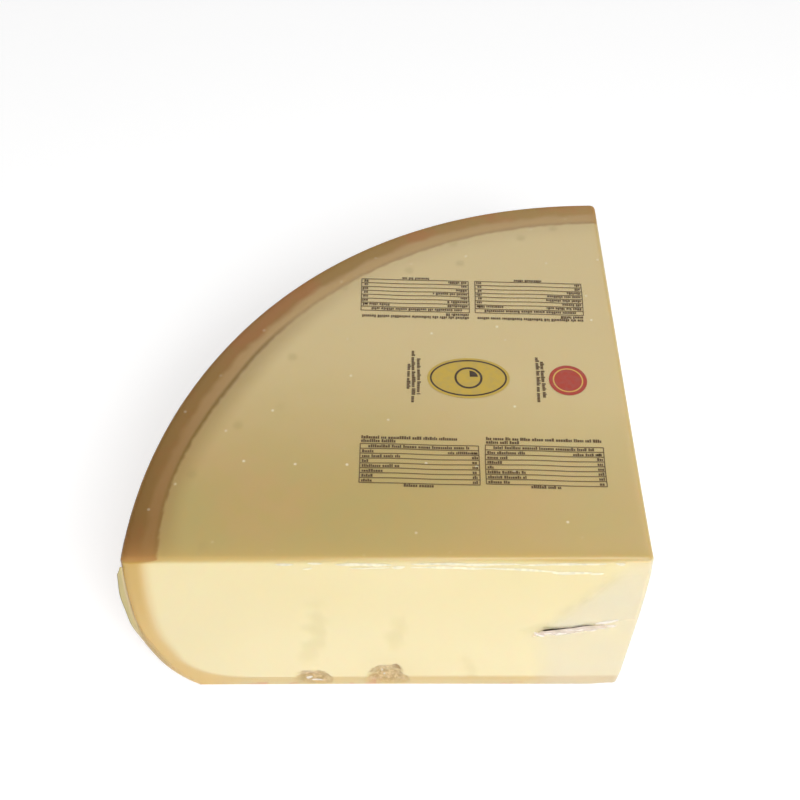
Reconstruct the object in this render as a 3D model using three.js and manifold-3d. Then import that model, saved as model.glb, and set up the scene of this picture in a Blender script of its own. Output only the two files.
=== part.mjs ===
// An eighth of a wheel of hard grating cheese, sealed in clear shrink film.
//
// The wheel was halved at mid height and each half cut into quarters, so the block is a quarter round
// with three cut faces that meet at one corner: the top, the front and the right side. The curved heel
// and the flat base keep the rind. The film clings to all of it, and its seams and folds stand out a
// little. It is one solid, in millimetres, +Z up, with its origin at the middle of its bounding box's base.
//
// The shapes are worked out with the corner where the cut faces meet at x = 0, y = 0: the block lies
// towards -X and +Y, the front cut face is the plane y = 0 and the right cut face is the plane x = 0.

import * as THREE from "three";
import { mergeVertices } from "three/addons/utils/BufferGeometryUtils.js";
import { ImprovedNoise } from "three/addons/math/ImprovedNoise.js";
import Module from "manifold-3d";

// The block
const HEIGHT = 103; // half the height of the wheel
const BASE_RADIUS = 186; // the flat part of the wheel's base
const BELLY_RADIUS = 210.7; // the heel at its widest
const BELLY_HEIGHT = 56; // where the shoulder ends and the nearly upright heel starts
const HEEL_LEAN = 0.9; // how much the heel draws in again by the top cut
const EDGE_RADIUS = 2.8; // the film rounds every edge of the cuts
const PLAN_STEPS = 26; // steps along each straight cut, and along each half of the arc
const HEIGHT_STEPS = 20;
const CROWDING = 0.85; // how far the steps crowd towards the edges, from 0 to 1

// Places where crumbs broke out of the front cut, just above the base
const CHIPS = [
  { x: -136.5, width: 16, height: 12.5, depth: 5 },
  { x: -103.6, width: 20, height: 20, depth: 6.5 },
];
const CHIP_SILL = 1.6; // the lip left under a chip, along the base
const CHIP_FOOT = 2.5; // how far above its lip a chip is widest
const CHIP_DETAIL = 4; // subdivisions of the icosahedron that bites a chip out
const CHIP_ROUGHNESS = 0.3;
const CUTTER_SHIFT = -0.06; // along Y, so that no corner of a chip or crack lies in the face that it cuts

// Shallow cracks that climb the front cut from the chips, as points (x, z)
const CRACKS = [
  { halfWidth: 4.2, depth: 1.1, line: [[-134.6, 6], [-135.3, 25], [-134.6, 42], [-130.6, 62], [-133.4, 77]] },
  { halfWidth: 3.6, depth: 0.9, line: [[-104.6, 12], [-105.0, 27], [-102.6, 41], [-101.0, 54]] },
  { halfWidth: 2.8, depth: 0.6, line: [[-66.5, 6], [-68.4, 16], [-72.2, 31]] },
];
const CRACK_RAGGEDNESS = 0.8;

// Film: the fin along the left corner, the ear folded onto the front and the seal across the right side
const FILM_PROUD = 0.7; // how far a flat fold of film stands off a face
const FILM_ROOT = 0.6; // how deep such a fold is sunk into the block, to join it
const FIN_PROUD = 3.9;
const FIN_THICKNESS = 1.1;
const FIN_ROOT = 3; // how deep the fin's ends are sunk into the block
const FIN_POINTS = 18;
const FIN_BOTTOM = 34;
const FIN_TOP = 102;
const EAR_TIP = { x: -41, z: 47.4 };
const EAR_TOP = { x: -10, z: 97 };
const EAR_BEND = { x: -29, z: 72 }; // its free edge curves between tip and top
const EAR_ROOT = { x: -2, z: 57 };
const POCKET_REACH = 0.6; // share of the ear's lower edge that stands open
const POCKET_HALF_HEIGHT = 0.6;
const POCKET_DEPTH = 2.2;
const SEAL_BOTTOM = 42;
const SEAL_TOP = 57;
const SEAL_INSET = 5; // from the ends of the right cut face

const RIGHT_ANGLE = Math.PI / 2;

const wasm = await Module();
wasm.setup();

// A closed geometry as a solid whose faces point out.
function solid(geometry) {
  geometry.deleteAttribute("normal");
  geometry.deleteAttribute("uv");
  const merged = mergeVertices(geometry, 1e-3);
  const make = (triVerts) =>
    new wasm.Manifold(
      new wasm.Mesh({ numProp: 3, vertProperties: merged.getAttribute("position").array, triVerts }),
    );
  const triangles = new Uint32Array(merged.index.array);
  const made = make(triangles);
  return made.volume() > 0 ? made : make(triangles.reverse());
}

// Moves every vertex of a geometry by a function that takes and returns a Vector3.
function reshape(geometry, move) {
  const positions = geometry.getAttribute("position");
  const point = new THREE.Vector3();
  for (let i = 0; i < positions.count; i++) {
    const moved = move(point.fromBufferAttribute(positions, i));
    positions.setXYZ(i, moved.x, moved.y, moved.z);
  }
  return geometry;
}

// The radius of the wheel at a height: a full shoulder from the base, then a nearly upright heel.
function heelRadius(z) {
  const shoulder = (1 - (1 - Math.min(z / BELLY_HEIGHT, 1)) ** 1.8) ** 0.7;
  const lean = Math.max(z - BELLY_HEIGHT, 0) / (HEIGHT - BELLY_HEIGHT);
  return THREE.MathUtils.lerp(BASE_RADIUS, BELLY_RADIUS, shoulder) - HEEL_LEAN * lean ** 2;
}

// Draws a point near an edge in onto a round of EDGE_RADIUS, and leaves the others where they are.
function rounded(point) {
  const centre = new THREE.Vector3(
    Math.min(point.x, -EDGE_RADIUS),
    Math.max(point.y, EDGE_RADIUS),
    THREE.MathUtils.clamp(point.z, EDGE_RADIUS, HEIGHT - EDGE_RADIUS),
  );
  const reach = heelRadius(centre.z) - EDGE_RADIUS;
  const inward = Math.min(reach / Math.hypot(centre.x, centre.y), 1);
  centre.x *= inward;
  centre.y *= inward;
  return centre.clone().add(point.clone().sub(centre).setLength(EDGE_RADIUS));
}

// The rounded quarter block, from a box whose square rings become arcs of the wheel.
function quarterBlock() {
  const box = new THREE.BoxGeometry(1, 1, 1, PLAN_STEPS, PLAN_STEPS, HEIGHT_STEPS);
  const crowded = (k) => k - (CROWDING * Math.sin(2 * Math.PI * k)) / (2 * Math.PI);
  return reshape(box, (corner) => {
    const left = crowded(corner.x + 0.5);
    const back = crowded(corner.y + 0.5);
    const z = HEIGHT * crowded(corner.z + 0.5);
    const share = Math.max(left, back);
    const halfTurn = share > 0 ? Math.min(left, back) / share / 2 : 0;
    const angle = RIGHT_ANGLE * (back > left ? 1 - halfTurn : halfTurn);
    const radius = share * heelRadius(z);
    return rounded(new THREE.Vector3(-radius * Math.cos(angle), radius * Math.sin(angle), z));
  });
}

// A rough dome, flat below, that bites a chip out of the foot of the front cut.
function chipCutter({ x, width, height, depth }) {
  const noise = new ImprovedNoise();
  const lump = new THREE.IcosahedronGeometry(1, CHIP_DETAIL);
  return reshape(lump, (p) => {
    const coarse = noise.noise(2.1 * p.x + x, 2.1 * p.y, 2.1 * p.z);
    const fine = noise.noise(6.3 * p.x, 6.3 * p.y + x, 6.3 * p.z);
    const size = 1 + CHIP_ROUGHNESS * (coarse + 0.5 * fine);
    const rise = p.z > 0 ? p.z * size * (height - CHIP_FOOT) : p.z * CHIP_FOOT;
    const across = (p.x * size * width) / 2;
    return p.set(x + across, p.y * size * depth + CUTTER_SHIFT, CHIP_SILL + CHIP_FOOT + rise);
  });
}

// A sphere drawn out along a line on the front face, flattened to a shallow groove.
function grooveCutter({ halfWidth, depth, line }) {
  const curve = new THREE.CatmullRomCurve3(line.map(([x, z]) => new THREE.Vector3(x, 0, z)));
  const noise = new ImprovedNoise();
  return reshape(new THREE.SphereGeometry(1, 10, 22), (p) => {
    const along = THREE.MathUtils.clamp((p.y + 1) / 2, 0, 1);
    const centre = curve.getPoint(along);
    const tangent = curve.getTangent(along);
    const ragged = 1 + CRACK_RAGGEDNESS * noise.noise(7 * along, halfWidth, Math.sign(p.x));
    const across = p.x * halfWidth * ragged;
    const inward = p.z * depth + CUTTER_SHIFT;
    return centre.add(new THREE.Vector3(-tangent.z * across, inward, tangent.x * across));
  });
}

// A flat plate in the front plane, from an outline in x and z. It stands proud of the face and is rooted in it.
function frontPlate(outline, root, proud) {
  const settings = { depth: root + proud, bevelEnabled: false, curveSegments: 16 };
  return new THREE.ExtrudeGeometry(outline, settings).rotateX(RIGHT_ANGLE).translate(0, root, 0);
}

// The fin of film that stands out along the left corner of the front face.
function fin() {
  const outline = new THREE.Shape();
  for (let i = 0; i <= FIN_POINTS; i++) {
    const share = i / FIN_POINTS;
    const z = THREE.MathUtils.lerp(FIN_BOTTOM, FIN_TOP, share);
    const proud = FIN_PROUD * Math.sin(Math.PI * share) ** 0.8;
    outline[i ? "lineTo" : "moveTo"](-heelRadius(z) - proud, z);
  }
  outline.lineTo(-heelRadius(FIN_TOP) + FIN_ROOT, FIN_TOP);
  outline.lineTo(-heelRadius(FIN_BOTTOM) + FIN_ROOT, FIN_BOTTOM);
  const setback = EDGE_RADIUS / 2;
  return frontPlate(outline, setback + FIN_THICKNESS, -setback);
}

// The ear of film folded round from the right side and pressed onto the front face.
function ear() {
  const outline = new THREE.Shape();
  outline.moveTo(EAR_ROOT.x, EAR_TOP.z);
  outline.lineTo(EAR_TOP.x, EAR_TOP.z);
  outline.quadraticCurveTo(EAR_BEND.x, EAR_BEND.z, EAR_TIP.x, EAR_TIP.z);
  outline.lineTo(EAR_ROOT.x, EAR_ROOT.z);
  return frontPlate(outline, FILM_ROOT, FILM_PROUD);
}

// The pocket under the ear's lower edge, widest at its tip.
function pocket() {
  const end = {
    x: THREE.MathUtils.lerp(EAR_TIP.x, EAR_ROOT.x, POCKET_REACH),
    z: THREE.MathUtils.lerp(EAR_TIP.z, EAR_ROOT.z, POCKET_REACH),
  };
  return grooveCutter({
    halfWidth: POCKET_HALF_HEIGHT,
    depth: POCKET_DEPTH,
    line: [[EAR_TIP.x, EAR_TIP.z], [end.x, end.z]],
  });
}

// The bag's end seal, folded flat across the right face.
function seal() {
  const outline = new THREE.Shape();
  const far = heelRadius(SEAL_TOP) - SEAL_INSET;
  outline.moveTo(SEAL_INSET, SEAL_BOTTOM);
  outline.lineTo(far, SEAL_BOTTOM);
  outline.lineTo(far, SEAL_TOP);
  outline.lineTo(SEAL_INSET, SEAL_TOP);
  return frontPlate(outline, FILM_ROOT, FILM_PROUD).rotateZ(RIGHT_ANGLE);
}

// A solid's surface as a geometry whose origin is the middle of the base of its bounding box.
function centred(made) {
  const { numProp, numVert, vertProperties, triVerts } = made.getMesh();
  const positions = new Float32Array(3 * numVert);
  for (let i = 0; i < numVert; i++) {
    positions.set(vertProperties.subarray(i * numProp, i * numProp + 3), 3 * i);
  }
  const geometry = new THREE.BufferGeometry();
  geometry.setAttribute("position", new THREE.BufferAttribute(positions, 3));
  geometry.setIndex(new THREE.BufferAttribute(new Uint32Array(triVerts), 1));
  geometry.computeBoundingBox();
  const middle = geometry.boundingBox.getCenter(new THREE.Vector3());
  geometry.translate(-middle.x, -middle.y, -geometry.boundingBox.min.z);
  geometry.computeVertexNormals();
  return geometry;
}

function wrappedWedge() {
  let made = solid(quarterBlock());
  for (const fold of [fin(), ear(), seal()]) made = made.add(solid(fold));
  const cutters = [...CHIPS.map(chipCutter), ...CRACKS.map(grooveCutter), pocket()];
  for (const cutter of cutters) made = made.subtract(solid(cutter));
  const paste = new THREE.MeshStandardMaterial({ color: 0xe9d8a6, roughness: 0.32, metalness: 0 });
  const mesh = new THREE.Mesh(centred(made), paste);
  mesh.name = "wrapped_wedge";
  return mesh;
}

const cheeseBlock = new THREE.Group();
cheeseBlock.add(wrappedWedge());

export default cheeseBlock;
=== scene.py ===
"""A wedge of hard cheese sealed in clear printed film: its looks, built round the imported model.

Shapes are worked out in millimetres from the foot of the corner where the block's cuts meet. The block lies
towards -X and +Y of it: the front cut is the plane y = 0, the right cut the plane x = 0, and the halving cut
of the wheel is the top. metres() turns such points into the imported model's frame.
"""

import math
import random

import bpy
import numpy as np
from mathutils import Matrix, Vector, noise


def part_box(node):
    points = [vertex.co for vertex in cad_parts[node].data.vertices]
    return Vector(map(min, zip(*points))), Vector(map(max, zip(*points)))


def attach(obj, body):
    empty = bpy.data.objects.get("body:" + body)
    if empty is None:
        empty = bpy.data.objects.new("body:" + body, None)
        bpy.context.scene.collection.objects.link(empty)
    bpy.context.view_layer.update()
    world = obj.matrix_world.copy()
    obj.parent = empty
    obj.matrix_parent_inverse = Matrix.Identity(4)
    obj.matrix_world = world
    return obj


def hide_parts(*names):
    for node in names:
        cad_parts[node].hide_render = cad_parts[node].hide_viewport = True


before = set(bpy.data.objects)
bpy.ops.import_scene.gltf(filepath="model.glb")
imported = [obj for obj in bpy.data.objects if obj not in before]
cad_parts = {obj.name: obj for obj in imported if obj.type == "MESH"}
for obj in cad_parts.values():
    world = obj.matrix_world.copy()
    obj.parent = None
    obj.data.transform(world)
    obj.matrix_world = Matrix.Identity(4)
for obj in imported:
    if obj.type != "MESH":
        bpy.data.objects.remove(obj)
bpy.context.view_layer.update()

# The block, as in the solid
HEIGHT = 103.0
BASE_RADIUS = 186.0
BELLY_RADIUS = 210.7
BELLY_HEIGHT = 56.0
HEEL_LEAN = 0.9
EDGE_RADIUS = 2.8
FILM_PROUD = 0.7

# What the real cuts add: sharper low edges, an arc that is fuller past its middle, by the front cut and low
# down, a right cut that bows out, most of all at the front, and a front cut whose foot stands forwards
LOW_EDGE_RADIUS = 1.4
FULLNESS = 1.02
FULLNESS_LEAN = 1.3
FRONT_FULLNESS = 0.57
FRONT_TURN = 0.12
LOW_FULLNESS = 1.7
LOW_REACH = 30.0
BOW = 0.9
CORNER_BOW = 0.5
BOW_REACH = 25.0
FOOT_LEAN = 0.8
FOOT_REACH = 45.0

# The skin of the cheese lies this far under the solid's surface, and the film this far over it
CHEESE_INSET = 0.12
FILM_LIFT = 0.05

# The rind: its thickness on the top and how much of that it loses near the front cut, the line
# (radius, height) where it ends on the side cuts, and the groove along its inner edge on the top
TOP_RIND = 14.7
TOP_RIND_DIP = 1.9
SIDE_RIND = 8.0
RIND_LINE = [
    (0, 7.9), (100, 7.4), (143, 6.4), (165, 6.9), (178, 9.2), (186.5, 13.7),
    (193.7, 21.7), (198, 33), (201, 43), (202.4, 56), (202.6, 76), (201, 103),
]
GROOVE_DEPTH = 0.25

# Crumbs broken out of the foot of the front cut
CHIPS = [
    {"x": -137.0, "width": 15.5, "height": 12.0, "depth": 2.6, "blunt": 4},
    {"x": -104.2, "width": 19.0, "height": 18.5, "depth": 4.2, "blunt": 1.5},
]
CHIP_SILL = 1.6
CHIP_FOOT = 2.5

# Three shallow cracks that climb the front cut and two soft creases at the ear of film, with how far each
# reaches to either side of its line. Each darkens the paste along it with painted shade; the creases carry
# the painted shade of the ear's fold line and a painted shadow above the slit.
CRACKS = [
    {"reach": 5.4, "depth": 0.55, "line": [(-140, 18), (-138, 36), (-136, 50), (-135, 62), (-134.5, 76)]},
    {"reach": 4.6, "depth": 0.5, "line": [(-103.5, 28), (-102.5, 40), (-101, 51), (-101, 61)]},
    {"reach": 2.8, "depth": 0.4, "line": [(-66, 6), (-68, 16), (-72, 31)]},
    {"reach": 2.4, "depth": 0.35, "line": [(-37, 53), (-29, 67), (-17, 85), (-12, 95)]},
    {"reach": 2.6, "depth": 0.5, "line": [(-49, 46.5), (-40, 50.5), (-28, 53)]},
]

# Folds of film
FIN_PROUD = 2.4
FIN_MIDDLE = 77.0
FIN_SPREAD = 28.0
FIN_BOTTOM = 6.0
FIN_TOP = 99.0
FIN_CLING = 1.3
EAR_TIP = (-41.0, 47.4)
EAR_TOP = (-10.0, 97.0)
EAR_BEND = (-29.0, 72.0)
EAR_ROOT = (-2.0, 57.0)
EAR_SLIT = [(-38.9, 48.4), (-33.9, 49.5), (-29.8, 50.1), (-25.1, 51.3), (-21.1, 52.6), (-17.5, 53.1)]
LIP_START = (-43.5, 46.5)
LIP_END = (-8.0, 54.8)
LIP_HEIGHT = 7.0
SEAL_BOTTOM = 42.0
SEAL_TOP = 57.0
SEAL_INSET = 5.0

MM = 0.001
QUARTER = math.pi / 2
EDGE_STEP = 0.45

low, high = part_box("wrapped_wedge")
CORNER = np.array([high.x - FILM_PROUD * MM, low.y + FILM_PROUD * MM, low.z])


def metres(points):
    """Points in millimetres from the corner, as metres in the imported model's frame."""
    return CORNER + np.asarray(points, float) * MM


def smoothstep(start, end, value):
    """0 up to start, 1 from end on, and smooth between them. Start may be the higher one."""
    share = np.clip((value - start) / (end - start), 0, 1)
    return share * share * (3 - 2 * share)


def new_object(name, data):
    made = bpy.data.objects.new(name, data)
    bpy.context.scene.collection.objects.link(made)
    return made


def mesh_object(name, points, faces, looks, smooth=True):
    """A new object from points in millimetres, riding on the part."""
    mesh = bpy.data.meshes.new(name)
    mesh.from_pydata(metres(points).tolist(), [], [list(map(int, face)) for face in faces])
    mesh.polygons.foreach_set("use_smooth", [smooth] * len(mesh.polygons))
    mesh.materials.append(looks)
    made = new_object(name, mesh)
    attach(made, "root")
    return made


def set_share(made, name, values):
    """Stores a share for each point of an object, for its material to read."""
    made.data.attributes.new(name, "FLOAT", "POINT").data.foreach_set("value", values)


# ---------------- the quarter block


def heel_radius(z):
    """The radius of the wheel at a height."""
    rise = np.clip(z / BELLY_HEIGHT, 0, 1)
    shoulder = (1 - (1 - rise) ** 1.8) ** 0.7
    lean = np.maximum(z - BELLY_HEIGHT, 0) / (HEIGHT - BELLY_HEIGHT)
    return BASE_RADIUS + (BELLY_RADIUS - BASE_RADIUS) * shoulder - HEEL_LEAN * lean**2


def rounded(points):
    """Draws points near an edge in onto a round and leaves the others. The round is wider at the top and at
    the foot of the right corner."""
    x, y, z = points.T
    wide = smoothstep(HEIGHT - 14, HEIGHT - 3, z) + smoothstep(-14, -4, x) * smoothstep(12, 3, z)
    radius = LOW_EDGE_RADIUS + (EDGE_RADIUS - LOW_EDGE_RADIUS) * wide
    centre_z = np.clip(z, radius, HEIGHT - radius)
    centre = np.stack([np.minimum(x, -radius), np.maximum(y, radius), centre_z], 1)
    reach = heel_radius(centre_z) - radius
    inward = np.minimum(reach / np.hypot(centre[:, 0], centre[:, 1]), 1)
    centre[:, :2] *= inward[:, None]
    out = points - centre
    return centre + out * (radius / np.linalg.norm(out, axis=1))[:, None]


def bow(points):
    """How far the right cut, and what is near it, stands out."""
    x, y, z = points.T
    all_along = BOW * np.sin(np.pi * np.clip(z / HEIGHT, 0, 1) ** 1.4)
    at_corner = CORNER_BOW * np.exp(-np.maximum(y, 0) / BOW_REACH)
    return np.exp(np.minimum(x, 0) / BOW_REACH) * (all_along + at_corner)


def foot_lean(points):
    """How far the foot of the front cut, and what is near it, stands forwards: most at the right."""
    x, y, z = points.T
    right = 0.35 + 0.65 * smoothstep(-130, 0, x)
    return FOOT_LEAN * right * np.clip(1 - z / FOOT_REACH, 0, 1) * np.exp(-np.maximum(y, 0) / BOW_REACH)


def bent(points):
    """Moves points of the plain block to where the real one's fuller arc and bent cuts have them."""
    x, y, z = points.T
    angle = np.arctan2(y, -x)
    rim = (np.hypot(x, y) / BELLY_RADIUS) ** 8
    fuller = FULLNESS * np.sin(2 * angle) ** 2 * (1 - FULLNESS_LEAN * np.cos(2 * angle))
    fuller += FRONT_FULLNESS * np.exp(-np.abs(angle) / FRONT_TURN)
    fuller += LOW_FULLNESS * np.clip(1 - z / LOW_REACH, 0, 1)
    scale = 1 + fuller / BELLY_RADIUS * rim
    return np.stack([x * scale + bow(points), y * scale - foot_lean(points), z], 1)


def stations(length, coarse, fine):
    """Shares from 0 to 1 of a length, dense at its ends and in the fine stretches (start, end, step)."""
    ends = [(0, EDGE_RADIUS, EDGE_STEP), (length - EDGE_RADIUS, length, EDGE_STEP)]
    marks = [0.0]
    while marks[-1] < length:
        here = [step for start, end, step in fine + ends if start <= marks[-1] < end]
        marks.append(marks[-1] + min(here, default=coarse))
    return np.array(marks) / marks[-1]


def box_surface(counts):
    """Lattice points and outward quads on the outside of a box of counts cells."""
    quads = []
    for axis in range(3):
        across, up = (axis + 1) % 3, (axis + 2) % 3
        first, second = np.meshgrid(np.arange(counts[across]), np.arange(counts[up]), indexing="ij")
        for side in (0, counts[axis]):
            quad = []
            for step_across, step_up in ((0, 0), (1, 0), (1, 1), (0, 1)):
                cell = np.empty((first.size, 3), int)
                cell[:, axis] = side
                cell[:, across] = first.ravel() + step_across
                cell[:, up] = second.ravel() + step_up
                quad.append(np.ravel_multi_index(cell.T, np.array(counts) + 1))
            quads.append(np.stack(quad if side else quad[::-1], 1))
    used, faces = np.unique(np.concatenate(quads), return_inverse=True)
    return np.stack(np.unravel_index(used, np.array(counts) + 1), 1), faces.reshape(-1, 4)


def vertex_normals(points, faces):
    """The outward direction at each point: the mean of its faces' own, by their areas."""
    corners = points[faces]
    normals = np.cross(corners[:, 2] - corners[:, 0], corners[:, 3] - corners[:, 1])
    summed = np.zeros_like(points)
    for corner in range(4):
        np.add.at(summed, faces[:, corner], normals)
    return summed / np.linalg.norm(summed, axis=1)[:, None]


def quarter_block(left, back, up):
    """Points, faces and normals of the rounded block. The square rings of a box become arcs of the wheel."""
    lattice, faces = box_surface([len(left) - 1, len(back) - 1, len(up) - 1])
    leftward, backward = left[lattice[:, 0]], back[lattice[:, 1]]
    z = HEIGHT * up[lattice[:, 2]]
    share = np.maximum(leftward, backward)
    turn = np.minimum(leftward, backward) / np.maximum(share, 1e-9) / 2
    angle = QUARTER * np.where(backward > leftward, 1 - turn, turn)
    radius = share * heel_radius(z)
    points = rounded(np.stack([-radius * np.cos(angle), radius * np.sin(angle), z], 1))
    faces = faces[:, ::-1]  # leftward runs towards -X, which mirrors the box
    return points, faces, vertex_normals(points, faces)


# ---------------- measures on the block


def distance_to(line, points):
    """How far each 2D point is from a line of points, and how far along it (0 to 1) the nearest place is."""
    line = np.asarray(line, float)
    nearest = np.full(len(points), np.inf)
    along = np.zeros(len(points))
    for number, (start, end) in enumerate(zip(line[:-1], line[1:])):
        run = end - start
        share = np.clip((points - start) @ run / (run @ run), 0, 1)
        distance = np.linalg.norm(points - start - share[:, None] * run, axis=1)
        closer = distance < nearest
        nearest = np.where(closer, distance, nearest)
        along = np.where(closer, (number + share) / (len(line) - 1), along)
    return nearest, along


def curved(line, steps=10):
    """A Catmull-Rom curve through a line of points."""
    line = np.asarray(line, float)
    padded = np.vstack([2 * line[0] - line[1], line, 2 * line[-1] - line[-2]])
    made = []
    for a, b, c, d in zip(padded, padded[1:], padded[2:], padded[3:]):
        for t in np.linspace(0, 1, steps, endpoint=False):
            square, cube = 2 * a - 5 * b + 4 * c - d, 3 * b - a - 3 * c + d
            made.append(0.5 * (2 * b + (c - a) * t + square * t**2 + cube * t**3))
    return np.vstack([made, line[-1]])


def top_rind(points):
    """The width of the rind on the top: narrower near the front cut, and then a little wider for a while."""
    angle = np.degrees(np.arctan2(points[:, 1], -points[:, 0]))
    dip = TOP_RIND_DIP * np.exp(-(((angle - 10) / 9) ** 2))
    swell = 0.5 * np.exp(-(((angle - 29) / 5) ** 2))
    return TOP_RIND - dip + swell


def rind_share(points, top):
    """0 at the skin of the wheel, 1 where the rind ends, and more in the paste."""
    radius = np.hypot(points[:, 0], points[:, 1])
    z = points[:, 2]
    profile = np.stack([radius, z], 1)
    heights = np.linspace(0, HEIGHT, 40)
    skin = np.vstack([[0, 0], np.stack([heel_radius(heights), heights], 1)])
    to_skin, _ = distance_to(skin, profile)
    inner = curved(RIND_LINE, 6)
    to_inner, _ = distance_to(inner, profile)
    inner_radius = np.interp(z, inner[:, 1], inner[:, 0])
    in_paste = (radius < inner_radius) & (z > inner[0, 1])
    sharper = 1 + 0.9 * smoothstep(34, 10, z)
    on_side = np.where(in_paste, 1 + sharper * to_inner / SIDE_RIND, to_skin / (to_skin + to_inner + 1e-6))
    on_top = (heel_radius(z) - radius) / top_rind(points)
    return on_side + (np.clip(on_top, 0, 4) - on_side) * top


def lumps(points, size, seed):
    """Soft noise between about -1 and 1, in lumps of a size in millimetres."""
    shift = Vector((seed * 17.3, seed * 5.1, seed * 9.7))
    return np.array([noise.noise(Vector(point / size) + shift) for point in points])


def chip_share(points, chip):
    """1 in the middle of a chip, 0 at its ragged edge and outside."""
    ragged = 1 + 0.35 * lumps(points, 4.5, chip["x"]) + 0.2 * lumps(points, 1.6, chip["x"])
    across = (points[:, 0] - chip["x"]) / (chip["width"] / 2)
    above = points[:, 2] - CHIP_SILL - CHIP_FOOT
    rise = above / np.where(above > 0, chip["height"] - CHIP_FOOT, CHIP_FOOT)
    off_middle = np.abs(across) ** min(chip["blunt"], 2) + np.abs(rise) ** chip["blunt"]
    return np.clip(1 - off_middle * ragged, 0, 1)


def crack_share(points, crack):
    """1 along the middle of a crack, 0 at its edges and outside."""
    distance, along = distance_to(curved(crack["line"]), points[:, [0, 2]])
    ragged = 0.85 + 1.3 * lumps(points, 7.0, crack["depth"])
    taper = np.sqrt(np.clip(1 - (2 * along - 1) ** 2, 0, 1))
    reach = crack["reach"] * np.maximum(ragged, 0.15)
    return np.clip(1 - (distance / reach) ** 2, 0, 1) * taper * np.clip(ragged, 0, 1)


def on_front(points, normals):
    """1 on the front cut, 0 elsewhere."""
    return (points[:, 1] < EDGE_RADIUS) * smoothstep(0.5, 0.8, -normals[:, 1])


def outwards(points, normals):
    """How far the surface faces away from the wheel's axis."""
    return (normals[:, :2] * points[:, :2]).sum(1) / np.hypot(points[:, 0], points[:, 1])


def upturn(normals):
    """How far the surface is turned up from upright, in degrees: 0 on the side cuts and 90 on the top."""
    return np.degrees(np.arcsin(np.clip(normals[:, 2], -1, 1)))


# ---------------- shader helpers


def colour(code):
    """A linear colour from six hexadecimal digits."""
    parts = [int(code[i : i + 2], 16) / 255 for i in (0, 2, 4)]
    return tuple(c / 12.92 if c <= 0.04045 else ((c + 0.055) / 1.055) ** 2.4 for c in parts) + (1.0,)


class Nodes:
    """The nodes of a material or world. A call adds one, sets or links its inputs and returns an output.
    An input given as text is a colour."""

    def __init__(self, owner):
        owner.use_nodes = True
        self.tree = owner.node_tree
        self.tree.nodes.clear()

    def add(self, kind, inputs, output=0, **settings):
        made = self.tree.nodes.new("ShaderNode" + kind)
        for key, value in settings.items():
            setattr(made, key, value)
        for key, value in inputs.items():
            if isinstance(value, bpy.types.NodeSocket):
                self.tree.links.new(value, made.inputs[key])
            else:
                made.inputs[key].default_value = colour(value) if isinstance(value, str) else value
        return made.outputs[output] if len(made.outputs) else None

    def place(self):
        return self.add("TexCoord", {}, "Object")

    def attribute(self, name):
        return self.add("Attribute", {}, "Fac", attribute_name=name)

    def noise(self, scale, detail=3.0, roughness=0.5):
        inputs = {"Vector": self.place(), "Scale": scale, "Detail": detail, "Roughness": roughness}
        return self.add("TexNoise", inputs, "Fac")

    def dots(self, scale, output):
        """Scattered points seen from above: the distance to the nearest one, or its own random colour."""
        inputs = {"Vector": self.place(), "Scale": scale}
        return self.add("TexVoronoi", inputs, output, voronoi_dimensions="2D")

    def ramp(self, value, start, end, first=0.0, last=1.0, kind="SMOOTHSTEP"):
        """Turns value from first at start to last at end."""
        inputs = {"Value": value, 1: start, 2: end, 3: first, 4: last}
        return self.add("MapRange", inputs, interpolation_type=kind)

    def math(self, operation, first, second):
        return self.add("Math", {0: first, 1: second}, operation=operation)

    def product(self, *shares):
        result = shares[0]
        for share in shares[1:]:
            result = self.math("MULTIPLY", result, share)
        return result

    def mix(self, share, first, second):
        return self.add("Mix", {0: share, 6: first, 7: second}, 2, data_type="RGBA")

    def bump(self, height, strength, distance, normal=None):
        inputs = {"Height": height, "Strength": strength, "Distance": distance * MM}
        if normal:
            inputs["Normal"] = normal
        return self.add("Bump", inputs)

    def sheen(self, normal):
        """The share of light that a clear film mirrors, seen from either side of it (Schlick's formula)."""
        facing = self.add("LayerWeight", {"Blend": 0.5, "Normal": normal}, "Facing")
        return self.ramp(self.math("POWER", facing, 5.0), 0.0, 1.0, 0.035, 1.0, "LINEAR")


def material(name, build):
    """A material whose surface is what build, a function of its nodes, returns."""
    made = bpy.data.materials.new(name)
    nodes = Nodes(made)
    nodes.add("OutputMaterial", {"Surface": build(nodes)})
    return made


# ---------------- the cheese

PASTE_TOP = "ccb270"
PASTE_TOP_GREEN = "c8b372"
PASTE_TOP_PINK = "d0b174"
# Painted light: the top's paste paler at the back
PASTE_TOP_LIT_BACK = "dec78d"
# Painted soft shadow on the paste beside the rind
PASTE_TOP_SHADOW = "b6985c"
PASTE_TOP_SPOT = "b39b60"
PASTE_SIDE = "ecdca5"
PASTE_SIDE_LOW = "f4e5b4"
PASTE_SIDE_CLOUD = "efdfac"
# Painted shade in the cracks and creases
PASTE_DENT_SHADE = "dfd096"
# Painted glow of light through the top's front edge
PASTE_PAINTED_GLOW = "d8ba74"
RIND_TOP_OUTER = "8a6426"
RIND_TOP_RED = "946128"
# Painted light: the rind's paler colours round the wheel
RIND_TOP_LIT_FAR = "b59150"
RIND_TOP_LIT_FAR_RED = "be874e"
RIND_TOP_INNER = "9c723a"
# Painted light: the inner rind paler round the wheel
RIND_TOP_INNER_LIT_FAR = "c3a16b"
RIND_TOP_LINE = "876a28"
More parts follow.
